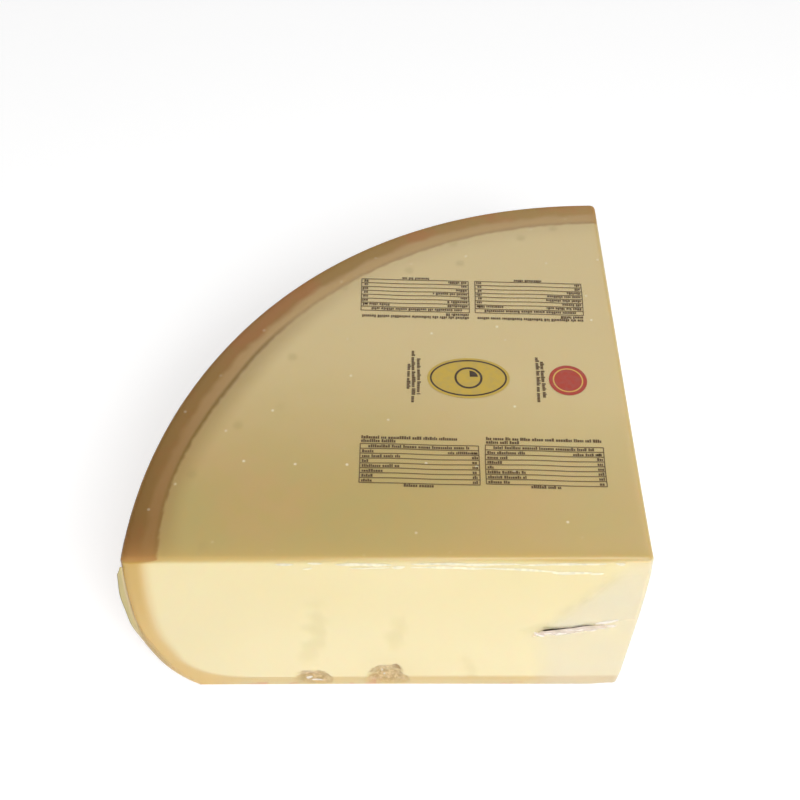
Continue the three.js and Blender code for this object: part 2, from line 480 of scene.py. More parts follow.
# Painted glow at the rind's edge
RIND_TOP_PAINTED_GLOW = "bd8c4c"
RIND_SIDE = "d0aa58"
RIND_SIDE_LOW = "e2be74"
RIND_SIDE_INNER = "e2c482"
RIND_FOOT = "dfca94"
RIND_FOOT_GREY = "d9c89a"
RIND_STAIN = "d9a780"
RIND_SKIN = "b98a4c"
RIND_SKIN_DARK = "8f6230"
CRUMB = "e8d09c"
CRUMB_DARK = "b9985c"
# Painted shade at the upper brink of a chip
CRUMB_BRINK_SHADE = "b08c50"
CRYSTAL = "f0e4c2"


def crystals(nodes, top, rind):
    """White specks of hard crystal, about a millimetre across and 25 mm apart, on the top."""
    distance = nodes.dots(38.0, "Distance")
    strength = nodes.ramp(nodes.dots(38.0, "Color"), 0.25, 0.75, 0.1, 0.95)
    in_paste = nodes.ramp(rind, 0.9, 1.2, 0.3, 1.0)
    return nodes.product(nodes.ramp(distance, 0.01, 0.036, 1.0, 0.0), strength, in_paste, top)


def paste_on_top(nodes, rind, painted_glow):
    """The paste of the top: honey brown, with painted light that makes it paler at the back, and with painted
    soft shadow and soft spots by the rind.
    """
    clouds = nodes.ramp(nodes.noise(24.0, 3.0, 0.55), 0.38, 0.62)
    fine = nodes.ramp(nodes.noise(140.0, 4.0, 0.6), 0.4, 0.7)
    made = nodes.mix(clouds, PASTE_TOP_GREEN, PASTE_TOP_PINK)
    made = nodes.mix(fine, made, PASTE_TOP)
    # Painted light: paler towards the back and right of the top
    made = nodes.mix(nodes.attribute("back"), made, PASTE_TOP_LIT_BACK)
    # Painted soft shadow beside the rind, strongest near the front cut
    by_rind = nodes.ramp(rind, 1.0, 1.8, 0.85, 0.0)
    by_turn = nodes.ramp(nodes.attribute("turn"), 0.35, 0.65, 1.0, 0.3)
    made = nodes.mix(nodes.product(by_rind, by_turn), made, PASTE_TOP_SHADOW)
    near = nodes.ramp(rind, 1.9, 3.2, 1.0, 0.0)
    spots = nodes.ramp(nodes.dots(41.0, "Distance"), 0.04, 0.13, 0.3, 0.0)
    made = nodes.mix(nodes.product(spots, near), made, PASTE_TOP_SPOT)
    # Painted glow at the top's front and right edges
    return nodes.mix(nodes.product(painted_glow, 0.9), made, PASTE_PAINTED_GLOW)


def rind_on_top(nodes, rind, painted_glow):
    """The cut rind of the top: brown outside with redder clouds, paler inside, with a soft dark inner line.
    It is darkest at the front cut and pales round the wheel with painted light."""
    turn = nodes.attribute("turn")
    wander = nodes.ramp(nodes.noise(60.0, 3.0), 0.3, 0.7, -0.07, 0.07)
    red = nodes.ramp(nodes.noise(45.0, 4.0, 0.6), 0.42, 0.64)
    near = nodes.mix(red, RIND_TOP_OUTER, RIND_TOP_RED)
    # Painted light: the rind, outside and inside, pales round the wheel
    far = nodes.mix(red, RIND_TOP_LIT_FAR, RIND_TOP_LIT_FAR_RED)
    outer = nodes.mix(turn, near, far)
    inner = nodes.mix(nodes.ramp(turn, 0.0, 0.55), RIND_TOP_INNER, RIND_TOP_INNER_LIT_FAR)
    made = nodes.mix(nodes.ramp(nodes.math("ADD", rind, wander), 0.46, 0.72), outer, inner)
    line = nodes.product(
        nodes.ramp(rind, 0.84, 0.96),
        nodes.ramp(rind, 0.97, 1.08, 1.0, 0.0),
        nodes.ramp(turn, 0.04, 0.2, 0.4, 0.9),
        nodes.ramp(turn, 0.36, 0.5, 1.0, 0.3),
    )
    made = nodes.mix(line, made, RIND_TOP_LINE)
    # Painted glow at the rind's edge
    return nodes.mix(painted_glow, made, RIND_TOP_PAINTED_GLOW)


def top_colour(nodes, rind):
    """The top: rind and paste, with a slightly uneven border."""
    painted_glow = nodes.attribute("painted_glow")
    wander = nodes.ramp(nodes.noise(300.0, 2.0), 0.3, 0.7, -0.03, 0.03)
    in_paste = nodes.ramp(nodes.math("ADD", rind, wander), 0.96, 1.07)
    return nodes.mix(in_paste, rind_on_top(nodes, rind, painted_glow), paste_on_top(nodes, rind, painted_glow))


def side_colour(nodes, rind):
    """The side cuts: cream paste that fades into pale gold rind, with the rind's base stained at its foot."""
    dent_shade, foot, depth = nodes.attribute("dent_shade"), nodes.attribute("foot"), nodes.attribute("depth")
    clouds = nodes.ramp(nodes.noise(16.0, 4.0, 0.6), 0.4, 0.7, 0.0, 0.8)
    paste = nodes.mix(clouds, nodes.mix(depth, PASTE_SIDE, PASTE_SIDE_LOW), PASTE_SIDE_CLOUD)
    # Painted shade in the cracks and in the creases at the ear of film
    paste = nodes.mix(dent_shade, paste, PASTE_DENT_SHADE)
    edge = nodes.mix(depth, RIND_SIDE, RIND_SIDE_LOW)
    edge = nodes.mix(nodes.ramp(rind, 0.6, 1.1), edge, RIND_SIDE_INNER)
    grey = nodes.ramp(nodes.noise(30.0, 4.0, 0.65), 0.48, 0.62, 0.0, 0.7)
    edge = nodes.mix(foot, edge, nodes.mix(grey, RIND_FOOT, RIND_FOOT_GREY))
    made = nodes.mix(nodes.ramp(rind, 0.85, 1.5), edge, paste)
    stain = nodes.ramp(nodes.noise(110.0, 3.0, 0.6), 0.52, 0.62, 0.0, 0.85)
    low = nodes.ramp(foot, 0.72, 0.95)
    return nodes.mix(nodes.product(stain, low), made, RIND_STAIN)


def skin_colour(nodes):
    """The outside of the wheel: golden brown, with darker clouds."""
    clouds = nodes.ramp(nodes.noise(35.0, 5.0, 0.65), 0.35, 0.7)
    return nodes.mix(clouds, RIND_SKIN, RIND_SKIN_DARK)


def crumb_colour(nodes):
    """The broken paste in a chip, with painted shade along its upper brink."""
    clouds = nodes.ramp(nodes.noise(420.0, 4.0, 0.65), 0.38, 0.58)
    made = nodes.mix(clouds, CRUMB, CRUMB_DARK)
    return nodes.mix(nodes.attribute("brink_shade"), made, CRUMB_BRINK_SHADE)


def cheese_surface(nodes):
    top, rind = nodes.attribute("top"), nodes.attribute("rind")
    outside, crumb_and_brink_shade = nodes.attribute("outside"), nodes.attribute("crumb_and_brink_shade")
    made = nodes.mix(top, side_colour(nodes, rind), top_colour(nodes, rind))
    made = nodes.mix(crystals(nodes, top, rind), made, CRYSTAL)
    made = nodes.mix(outside, made, skin_colour(nodes))
    # Crumb colour of the chips, with painted shade at their upper brinks
    made = nodes.mix(crumb_and_brink_shade, made, crumb_colour(nodes))
    grain = nodes.bump(nodes.noise(700.0, 3.0, 0.6), 0.15, 0.15)
    pits = nodes.bump(nodes.noise(250.0, 6.0, 0.7), outside, 0.6, grain)
    inputs = {
        "Base Color": made,
        "Roughness": nodes.ramp(rind, 0.9, 1.1, 0.6, 0.3),
        "Specular IOR Level": 0.25,
        "Normal": pits,
        "Subsurface Weight": 0.3,
        "Subsurface Radius": (1.0, 0.55, 0.25),
        "Subsurface Scale": 0.003,
    }
    return nodes.add("BsdfPrincipled", inputs)


def cheese_stations():
    left = stations(BELLY_RADIUS, 2.4, [(92, 147, 0.7)])
    back = stations(BELLY_RADIUS, 2.6, [])
    up = stations(HEIGHT, 2.4, [(0, 23, 0.7)])
    return left, back, up


def painted_glow_share(points):
    """Painted glow of light through the edges: 1 at the top's front edge and less at its right edge, fading
    out over the first few millimetres.
    """
    x, y, z = points.T
    front = np.exp(-np.maximum(y - 1, 0) / 4.8) * (1 - 0.6 * smoothstep(-45, -5, x))
    right = 0.5 * np.exp(-np.maximum(-x - 1, 0) / 2.5)
    return np.maximum(front, right) * smoothstep(HEIGHT - 2.2, HEIGHT - 0.8, z)


def top_share(points, normals):
    """1 on the top, 0 on the side cuts. Over the front edge the change comes soonest near the right end and
    latest left of the middle."""
    x = points[:, 0]
    later = 30 * np.exp(-(((x + 95) / 40) ** 2))
    sooner = 22 * smoothstep(-60, -28, x) * smoothstep(-6, -24, x)
    return smoothstep(0, 50 + later - sooner, upturn(normals))


def front_damage(points, normals):
    """How deep the chips and cracks of the front cut go, the share of chip, and the shares of painted shade
    along each chip's upper brink and in the cracks.
    """
    front = on_front(points, normals)
    near = front > 0
    spots = points[near]
    depth, chipped, brink_shade, dent_shade = np.zeros((4, len(points)))
    crumbs = 1 + 0.4 * lumps(spots, 3.2, 3) + 0.2 * lumps(spots, 1.2, 4)
    for chip in CHIPS:
        share = chip_share(spots, chip)
        depth[near] += chip["depth"] * np.sqrt(share) * crumbs * front[near]
        chipped[near] = np.maximum(chipped[near], smoothstep(0.02, 0.35, share))
        # Painted shade along the upper brink of each chip
        upper = smoothstep(0.3, 0.6, spots[:, 2] / chip["height"])
        edge = smoothstep(0.02, 0.12, share) * smoothstep(0.5, 0.2, share)
        brink_shade[near] = np.maximum(brink_shade[near], edge * upper)
    for crack in CRACKS:
        dented = crack["depth"] * crack_share(spots, crack)
        depth[near] = np.maximum(depth[near], dented)
        # The crack's share also darkens the paste as painted shade
        dent_shade[near] = np.maximum(dent_shade[near], dented)
    return depth, chipped, brink_shade, dent_shade


def make_cheese():
    points, faces, normals = quarter_block(*cheese_stations())
    x, y, z = points.T
    top = top_share(points, normals)
    rind = rind_share(points, top)
    depth, chipped, brink_shade, dent_shade = front_damage(points, normals)
    groove = GROOVE_DEPTH * top * smoothstep(0.93, 0.99, rind) * smoothstep(1.08, 1.0, rind)
    inwards = CHEESE_INSET + depth + groove
    skin = bent(points - normals * inwards[:, None])
    made = mesh_object("cheese", skin, faces, material("cheese", cheese_surface))
    shares = {
        "top": top,
        "rind": rind,
        # share of painted glow at the top's edges
        "painted_glow": painted_glow_share(points),
        "dent_shade": dent_shade,
        # crumb share of the chips, and their painted brink shade
        "crumb_and_brink_shade": np.maximum(0.75 * chipped, brink_shade),
        "brink_shade": brink_shade,
        "foot": smoothstep(12, 0, z) * smoothstep(-190, -160, x),
        "depth": smoothstep(95, 20, z),
        "turn": np.arctan2(y, -x) / QUARTER,
        # share of painted light towards the back and right of the top
        "back": np.clip(smoothstep(20, 120, y) + 0.3 * smoothstep(-120, -10, x), 0, 1),
        "outside": smoothstep(0.45, 0.8, np.maximum(outwards(points, normals), -normals[:, 2])),
    }
    for name, values in shares.items():
        set_share(made, name, values)
    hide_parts("wrapped_wedge")


# ---------------- the film

CLEAR_WHITE = "fffdf4"
FIN_ROOT = "e0cca0"
FIN_TINT = "e0d092"
FIN_RIM = "aca074"
LIP_TINT = "fbeee2"
# Painted shade of the open slit under the ear
SLIT_SHADE_DARK = "120d05"
SLIT_SHADE_BROWN = "3a2c14"

# How cloudy the film is where it lies double, and how cloudy the ear and its lip are at most. The lip's cloud
# is partly its own and partly a painted highlight of its crumples.
PATCH_MILK = 0.3
EAR_MILK = 0.07
LIP_MILK_AND_GLINT = 0.75


def clouded(nodes, milk, tint):
    """Film whose layers are cloudy by the share milk. The cloud scatters light forwards as well as back."""
    clear = nodes.add("BsdfTransparent", {})
    back = nodes.add("BsdfDiffuse", {"Color": tint})
    onwards = nodes.add("BsdfTranslucent", {"Color": tint})
    cloud = nodes.add("MixShader", {0: 0.15, 1: back, 2: onwards})
    return nodes.add("MixShader", {0: milk, 1: clear, 2: cloud})


def glossy(nodes, below, roughness, layers=1.0):
    """A film's gloss over what is below, as strong as that of so many layers."""
    ripple = nodes.bump(nodes.noise(60.0, 2.0), 0.12, 1.2)
    gloss = nodes.add("BsdfAnisotropic", {"Roughness": roughness, "Normal": ripple})
    return nodes.add("MixShader", {0: nodes.product(nodes.sheen(ripple), layers), 1: below, 2: gloss})


def film_surface(nodes):
    """The smooth film: cloudy and glossier where it lies double, duller over top edges and the cut rind."""
    milk = nodes.ramp(nodes.attribute("cloud"), 0.0, 1.0, 0.01, PATCH_MILK, "LINEAR")
    layers = nodes.attribute("layers")
    return glossy(nodes, clouded(nodes, milk, CLEAR_WHITE), nodes.ramp(layers, 0.1, 0.9, 0.5, 0.1), layers)


def fin_surface(nodes):
    """The fin: tan along its root and low down, pale gold across, and with a thin olive rim."""
    out, rise = nodes.attribute("out"), nodes.attribute("rise")
    tint = nodes.mix(nodes.product(nodes.ramp(out, 0.2, 0.45), rise), FIN_ROOT, FIN_TINT)
    tint = nodes.mix(nodes.product(nodes.ramp(out, 0.8, 1.0), rise), tint, FIN_RIM)
    return glossy(nodes, clouded(nodes, nodes.attribute("cloud"), tint), 0.3, 0.3)


def ear_surface(nodes):
    """The ear clings to the film below, so it has no gloss of its own, and it fades out at its edges."""
    return clouded(nodes, nodes.product(nodes.attribute("cloud"), EAR_MILK), CLEAR_WHITE)


def lip_surface(nodes):
    # Cloud of the lip: partly its own milkiness, partly painted highlight
    return clouded(nodes, nodes.product(nodes.attribute("cloud"), LIP_MILK_AND_GLINT), LIP_TINT)


def slit_shade_surface(nodes):
    """Painted shade of the inside of the open fold, browner in places."""
    tone = nodes.mix(nodes.ramp(nodes.noise(900.0, 2.0), 0.45, 0.6), SLIT_SHADE_DARK, SLIT_SHADE_BROWN)
    roughness = nodes.ramp(nodes.noise(300.0), 0.3, 0.7, 0.5, 0.8)
    inputs = {"Base Color": tone, "Roughness": roughness, "Specular IOR Level": 0.1}
    return nodes.add("BsdfPrincipled", inputs)


def seal_surface(nodes):
    """The pressed layers of the closing seal, unevenly cloudy."""
    milk = nodes.ramp(nodes.noise(150.0, 4.0, 0.6), 0.3, 0.7, 0.18, 0.42)
    return glossy(nodes, clouded(nodes, milk, CLEAR_WHITE), 0.16)


def painted_glint_film(name, code):
    """Film bunched into a sharp fold, painted white as the glint that its flank would mirror."""
    tone = colour(code)
    dull = tuple(0.85 * part for part in tone[:3]) + (1.0,)

    def surface(nodes):
        uneven = nodes.ramp(nodes.noise(500.0, 2.0), 0.35, 0.65)
        return nodes.add("BsdfPrincipled", {"Base Color": nodes.mix(uneven, tone, dull), "Roughness": 0.3})

    return material(name, surface)


def film_stations():
    left = stations(BELLY_RADIUS, 2.6, [(2, 46, 1.6), (92, 150, 1.2)])
    back = stations(BELLY_RADIUS, 3.0, [])
    up = stations(HEIGHT, 2.6, [(0, 24, 1.2)])
    return left, back, up


def film_lift(points):
    """How far the film stands off the front cut. It mostly spans the chips, and it sinks into the cracks."""
    lift = np.full(len(points), FILM_LIFT)
    for chip in CHIPS:
        lift -= 0.25 * chip["depth"] * chip_share(points, chip) * (1 + 0.5 * lumps(points, 3.0, 5))
    for crack in CRACKS:
        lift -= 0.7 * crack["depth"] * crack_share(points, crack)
    return lift


def double_film(points):
    """1 where the film lies double on the front cut, about the ear, fading out over a centimetre."""
    x, _, z = points.T
    left_end = EAR_TIP[0] + np.where(z > EAR_TIP[1], 0.62, -0.1) * (z - EAR_TIP[1])
    return smoothstep(-6, 9, x - left_end) * (0.75 + 0.25 * lumps(points, 14.0, 9))


def make_film():
    points, faces, normals = quarter_block(*film_stations())
    front = on_front(points, normals)
    near = front > 0
    lift = np.full(len(points), FILM_LIFT)
    lift[near] += front[near] * (film_lift(points[near]) - FILM_LIFT)
    heel = smoothstep(0.4, 0.8, outwards(points, normals))
    ripples = lumps(points * [1.0, 1.0, 0.25], 9.0, 7) + 0.5 * lumps(points, 5.0, 8)
    lift += heel * 0.35 * np.abs(ripples)
    skin = bent(points + normals * lift[:, None])
    made = mesh_object("film", skin, faces, material("film", film_surface))
    turned_up = upturn(normals)
    edge = smoothstep(4, 20, turned_up) * smoothstep(89, 78, turned_up)
    depth = heel_radius(points[:, 2]) - np.hypot(points[:, 0], points[:, 1])
    rind = smoothstep(60, 80, turned_up) * smoothstep(TOP_RIND + 1, TOP_RIND - 3, depth)
    cloud = front * double_film(points)
    set_share(made, "cloud", cloud)
    set_share(made, "layers", (1 + 1.4 * cloud) * (1 - 0.5 * rind) * (1 - 0.85 * edge))


def thin_sheet(name, rows, thickness, film, **shares):
    """A closed thin sheet from a grid of points in millimetres. Each share lists a value for every point."""
    rows = np.asarray(rows, float)
    count, width = rows.shape[:2]
    along = np.gradient(rows, axis=0)
    across = np.gradient(rows, axis=1)
    normals = np.cross(along, across)
    normals /= np.linalg.norm(normals, axis=2)[..., None]
    half = normals * thickness / 2
    points = np.concatenate([(rows + half).reshape(-1, 3), (rows - half).reshape(-1, 3)])
    index = np.arange(count * width).reshape(count, width)
    front = np.stack([index[:-1, :-1], index[1:, :-1], index[1:, 1:], index[:-1, 1:]], -1).reshape(-1, 4)
    back = front[:, ::-1] + count * width
    rim = np.concatenate([index[0, :-1], index[:-1, -1], index[-1, :0:-1], index[:0:-1, 0]])
    after = np.roll(rim, -1)
    side = np.stack([rim, after, after + count * width, rim + count * width], 1)
    made = mesh_object(name, bent(points), np.concatenate([front, back, side]), film)
    for share, values in shares.items():
        set_share(made, share, values + values)


def make_fin():
    """The fin of film along the left corner of the front cut. It stands out above, and clings and clears
    below."""
    rows, outs, rises, clouds = [], [], [], []
    for share in np.linspace(0, 1, 80):
        z = FIN_BOTTOM + (FIN_TOP - FIN_BOTTOM) * share
        corner = float(heel_radius(z)) - FIN_CLING * smoothstep(62, 35, z)
        proud = 0.2 + FIN_PROUD * math.exp(-(((z - FIN_MIDDLE) / FIN_SPREAD) ** 2))
        proud = proud * np.clip((FIN_TOP - z) / 7, 0, 1) * (1 + 0.05 * math.sin(19 * share))
        root = 1.1 + 1.4 * np.clip((FIN_MIDDLE - z) / 40, 0, 1)
        rise = smoothstep(38, 58, z)
        milk = (0.35 + 0.45 * rise) * smoothstep(FIN_BOTTOM, FIN_BOTTOM + 20, z)
        row = []
        for out in np.linspace(0, 1, 13):
            past = (root + proud) * out - root
            behind = max(past, 0) * (0.5 + 0.1 * math.sin(23 * share))
            row.append((-(corner + past), behind - 0.25, z))
            outs.append(out)
            rises.append(rise)
            clouds.append(milk * smoothstep(-0.1, 0.9 - 0.65 * rise, out))
        rows.append(row)
    thin_sheet("film_fin", rows, 0.2, material("fin_film", fin_surface), out=outs, rise=rises, cloud=clouds)


def ear_edge(share):
    """The free edge of the ear, from its tip at 0 to its top at 1."""
    tip, bend, top = map(np.array, (EAR_TIP, EAR_BEND, EAR_TOP))
    return (1 - share) ** 2 * tip + 2 * share * (1 - share) * bend + share**2 * top


def make_ear():
    """The ear of film folded onto the front cut. Its lower edge stands open at the tip."""
    root = np.array(EAR_ROOT)
    rows, clouds = [], []
    for up in np.linspace(0, 1, 46):
        edge = ear_edge(up)
        end = root + (EAR_TOP[1] - root[1]) * up * np.array([0, 1])
        row = []
        for in_share in np.linspace(0, 1, 36):
            x, z = edge + (end - edge) * in_share
            open_lip = math.exp(-((up / 0.08) ** 2)) * max(0.0, 1 - 1.6 * in_share)
            wave = 0.05 * math.sin(23 * up + 9 * in_share) + 0.04 * math.sin(51 * up - 13 * in_share)
            row.append((x, -(0.22 + wave + 0.1 * open_lip), z))
            clouds.append(smoothstep(0, 0.3, in_share) * smoothstep(1, 0.7, up) * smoothstep(0, 0.05, up))
        rows.append(row)
    thin_sheet("film_ear", rows, 0.08, material("ear_film", ear_surface), cloud=clouds)


def make_slit_shade():
    """A dark sheet painted as the shade of the slit under the ear's open lip, tall at the tip and closing to
    the right.
    """
    line = curved(EAR_SLIT, 8)
    rows = []
    for share, (x, z) in zip(np.linspace(0, 1, len(line)), line):
        tall = 0.3 + 0.75 * smoothstep(0.45, 0.15, share) + 0.04 * math.sin(23 * share)
        tall *= smoothstep(-0.01, 0.03, share) * smoothstep(1.02, 0.9, share)
        middle = z + 0.25
        rows.append([(x, -0.5, middle - tall / 2), (x, -0.5, middle), (x, -0.5, middle + tall / 2)])
    thin_sheet("painted_slit_shade", rows, 0.1, material("shade", slit_shade_surface))


def make_lip():
    """The ear's lower lip, under the slit: crumpled film that fades out below, whitish partly from its own
    cloud and partly from a painted highlight.
    """
    line = curved([(x, z - 2.6) for x, z in [LIP_START, *EAR_SLIT, LIP_END]], 8)
    rows, clouds = [], []
    for share, (x, z) in zip(np.linspace(0, 1, len(line)), line):
        tall = LIP_HEIGHT * math.sin(math.pi * (0.04 + 0.92 * share)) ** 0.5
        row = []
        for up in np.linspace(0, 1, 12):
            row.append((x, -0.3 - 0.12 * math.sin(1.3 * x + 5 * up), z - tall / 2 + tall * up))
            soft = smoothstep(0, 0.4, up) * smoothstep(1, 0.75, up)
            soft *= smoothstep(0, 0.12, min(share, 1 - share))
            clouds.append(soft * (0.75 + 0.25 * math.sin(0.9 * x + 4 * up)))
        rows.append(row)
    thin_sheet("film_lip", rows, 0.08, material("lip_film", lip_surface), cloud=clouds)


# Pleats of film on the front cut, painted white as glints: (x, z) of both ends, and the width seen from in
# front
FINE_GLINT_PLEATS = [
    ((-149.5, 99.7), (-142.5, 99.7), 1.2),
    ((-136.8, 100.4), (-131.2, 100.3), 0.9),
    ((-138.8, 96.5), (-135.1, 97.2), 0.9),
    ((-126.0, 99.6), (-103.8, 99.6), 1.5),
    ((-120.8, 97.0), (-104.5, 97.4), 0.7),
    ((-103.6, 97.4), (-98.4, 98.1), 1.5),
    ((-96.0, 100.1), (-53.0, 99.4), 1.3),
    ((-96.0, 97.8), (-60.6, 96.6), 1.1),
    ((-53.0, 99.2), (-19.0, 99.8), 1.1),
    ((-15.2, 99.9), (-11.5, 99.6), 1.4),
    ((-64.8, 97.0), (-38.0, 94.2), 1.2),
    ((-39.6, 93.4), (-23.7, 92.7), 1.6),
    ((-24.3, 92.1), (-19.0, 92.4), 1.2),
]
# Painted glints on the creases by the slit and in the chips
WHITE_GLINT_PLEATS = [
    ((-42.4, 45.3), (-37.6, 42.8), 1.9),
    ((-38.6, 45.8), (-34.1, 46.0), 1.6),
    ((-34.0, 44.9), (-28.2, 46.4), 2.0),
    ((-29.7, 47.8), (-21.0, 48.9), 1.6),
    ((-19.6, 47.9), (-16.2, 48.2), 1.4),
    ((-17.3, 52.8), (-8.4, 56.4), 1.4),
    ((-13.4, 51.8), (-8.6, 51.0), 1.6),
    ((-140.5, 6.4), (-137.8, 7.0), 1.3),
    ((-138.2, 4.2), (-133.0, 4.0), 0.8),
    ((-106.9, 12.4), (-106.4, 13.9), 0.8),
    ((-106.0, 8.8), (-105.0, 9.6), 0.8),
]

# A ridge stands out, so it looks wider and lower than its foot, seen from above
PLEAT_TILT = math.radians(35)
PLEAT_FOOT = 0.9
PLEAT_RAISE = 0.35
PLEAT_STEP = 0.8


def pleat_section(width, across):
    """A pleat's section: a flat flank that faces up and forwards, and a short underside."""
    crest = -0.25 * width
    out = (width / 2 - crest) * math.tan(PLEAT_TILT)
    section = [(width / 2, -0.15), (width / 2, 0.0), (crest, out), (-width / 2, 0.0), (-width / 2, -0.15)]
    return [(across[0] * a, -o, across[1] * a) for a, o in section]


def add_pleat(points, faces, pleat):
    """Adds a low ridge of film, pointed at both ends and a little crooked, that lies on the film."""
    start, end, seen_width = pleat
    width = PLEAT_FOOT * seen_width
    start, end = (np.array([x, z + PLEAT_RAISE * width]) for x, z in (start, end))
    length = np.linalg.norm(end - start)
    along = (end - start) / length
    across = np.array([-along[1], along[0]])
    count = max(5, int(length / PLEAT_STEP))
    shares = np.linspace(0, 1, count)
    bend = 0.2 * width * np.sin(shares * length / 4 + start[0])
    middle = start + shares[:, None] * (end - start) + bend[:, None] * across
    wide = width * np.sin(np.pi * (0.03 + 0.94 * shares)) ** 0.5
    wide *= 0.88 + 0.14 * np.sin(shares * length / 1.9 + 2 * start[1])
    middle = np.stack([middle[:, 0], np.zeros(count), middle[:, 1]], 1)
    arc = np.maximum(middle[:, 2] - (HEIGHT - EDGE_RADIUS), 0)
    middle[:, 1] = EDGE_RADIUS - np.sqrt(EDGE_RADIUS**2 - arc**2) - film_lift(middle)
    base = len(points)
    sides = 5
    for place, width_here in zip(middle, wide):
        points.extend(place + np.array(offset) for offset in pleat_section(width_here, across))
    for ring in range(count - 1):
        for side in range(sides):
            a, b = base + ring * sides + side, base + ring * sides + (side + 1) % sides
            faces.append([a, a + sides, b + sides, b])
    faces.append([base + side for side in range(sides)])
    faces.append([base + count * sides - 1 - side for side in range(sides)])


def make_pleats():
    # Both materials are painted highlights: white where the folds would glint
    fine, white = painted_glint_film("pleat_painted_glint", "fdf5d8"), painted_glint_film("crease_painted_glint", "fff6ea")
    for name, pleats, film in (("film_pleats", FINE_GLINT_PLEATS, fine), ("film_creases", WHITE_GLINT_PLEATS, white)):
        points, faces = [], []
        for pleat in pleats:
            add_pleat(points, faces, pleat)
        mesh_object(name, bent(np.array(points)), faces, film, smooth=False)


def make_seal():
    """The bag's closing seal, folded flat across the right cut and pressed into fine ribs."""
    far = float(heel_radius(SEAL_TOP)) - SEAL_INSET
    rows = []
    for y in np.linspace(SEAL_INSET, far, 90):
        row = []
        for share in np.linspace(0, 1, 40):
            z = SEAL_BOTTOM + (SEAL_TOP - SEAL_BOTTOM) * share + 0.5 * math.sin(y / 17)
            ribs = 0.08 * math.sin(2 * math.pi * z / 1.5) * smoothstep(0.3, 0.4, share)
            ripple = 0.1 * math.sin(y / 6 + 2 * share)
            row.append((0.35 + ribs + ripple, y, z))
        rows.append(row)
    thin_sheet("film_seal", rows, 0.15, material("sealed_film", seal_surface))


# ---------------- the print on the film

PRINT_BOTTOM = HEIGHT + FILM_LIFT - 0.02
PRINT_TOP = HEIGHT + FILM_LIFT + 0.06
PRINT_TILT = math.radians(-1.8)
TABLE_SIZE = (49.8, 20.3)
ROW_COUNT = 7
LINE_WIDTH = 0.4
LETTER_GAP = 0.2
WORD_GAP = 0.6
WAVE_LENGTH = 5.0


class Sheet:
    """Collects flat printed shapes on the top of the block, as thin plates, and makes them one mesh."""

    def __init__(self, bottom=PRINT_BOTTOM, top=PRINT_TOP):
        self.points, self.faces = [], []
        self.heights = bottom, top

    def outline(self, corners):
        """A filled shape from its corners, in order."""
        start, count = len(self.points), len(corners)
        for height in self.heights:
            self.points += [(x, y, height) for x, y in corners]
        area = sum(a[0] * b[1] - b[0] * a[1] for a, b in zip(corners, corners[1:] + corners[:1]))
        order = list(range(count)) if area > 0 else list(range(count))[::-1]
        self.faces.append([start + k for k in order[::-1]])
        self.faces.append([start + count + k for k in order])
        for k, after in zip(order, order[1:] + order[:1]):
            self.faces.append([start + k, start + after, start + count + after, start + count + k])

    def ring(self, outer, inner):
        """A band between two outlines with as many corners each."""
        count = len(outer)
        for k in range(count):
            after = (k + 1) % count
            self.outline([outer[k], outer[after], inner[after], inner[k]])

    def make(self, name, inked):
        mesh_object(name, self.points, self.faces, inked, smooth=False)


def turned(centre, angle):
    """A function that places local points (x, y) round a centre on the top, on unevenly shrunk film."""
    cos, sin = math.cos(angle), math.sin(angle)

    def to_top(x, y):
        y += 0.15 * math.sin(x / WAVE_LENGTH + centre[1]) * math.cos(y / 9)
        x += 0.12 * math.sin(y / WAVE_LENGTH + centre[0])
        return (centre[0] + x * cos - y * sin, centre[1] + x * sin + y * cos)

    return to_top


def bar(sheet, to_top, x0, y0, x1, y1):
    """A bar along X or Y that follows the waves of the film."""
    steps = max(1, round(max(x1 - x0, y1 - y0) / 2.5))
    shares = [step / steps for step in range(steps + 1)]
    if x1 - x0 > y1 - y0:
        lower = [to_top(x0 + (x1 - x0) * share, y0) for share in shares]
        upper = [to_top(x0 + (x1 - x0) * share, y1) for share in shares]
    else:
        lower = [to_top(x1, y0 + (y1 - y0) * share) for share in shares]
        upper = [to_top(x0, y0 + (y1 - y0) * share) for share in shares]
    sheet.outline(lower + upper[::-1])


def dashes(sheet, to_top, x0, x1, y, height, draw):
    """A line of plain dashes of uneven length, grouped as words are, from x0 to x1."""
    x = x0
    while x < x1 - 0.5:
        for _ in range(draw.randint(3, 10)):
            width = draw.uniform(0.45, 0.95)
            tall = height * draw.choice((0.72, 0.72, 1.0))
            if x + width > x1:
                return
            bar(sheet, to_top, x, y, x + width, y + tall)
            x += width + LETTER_GAP
        x += WORD_GAP


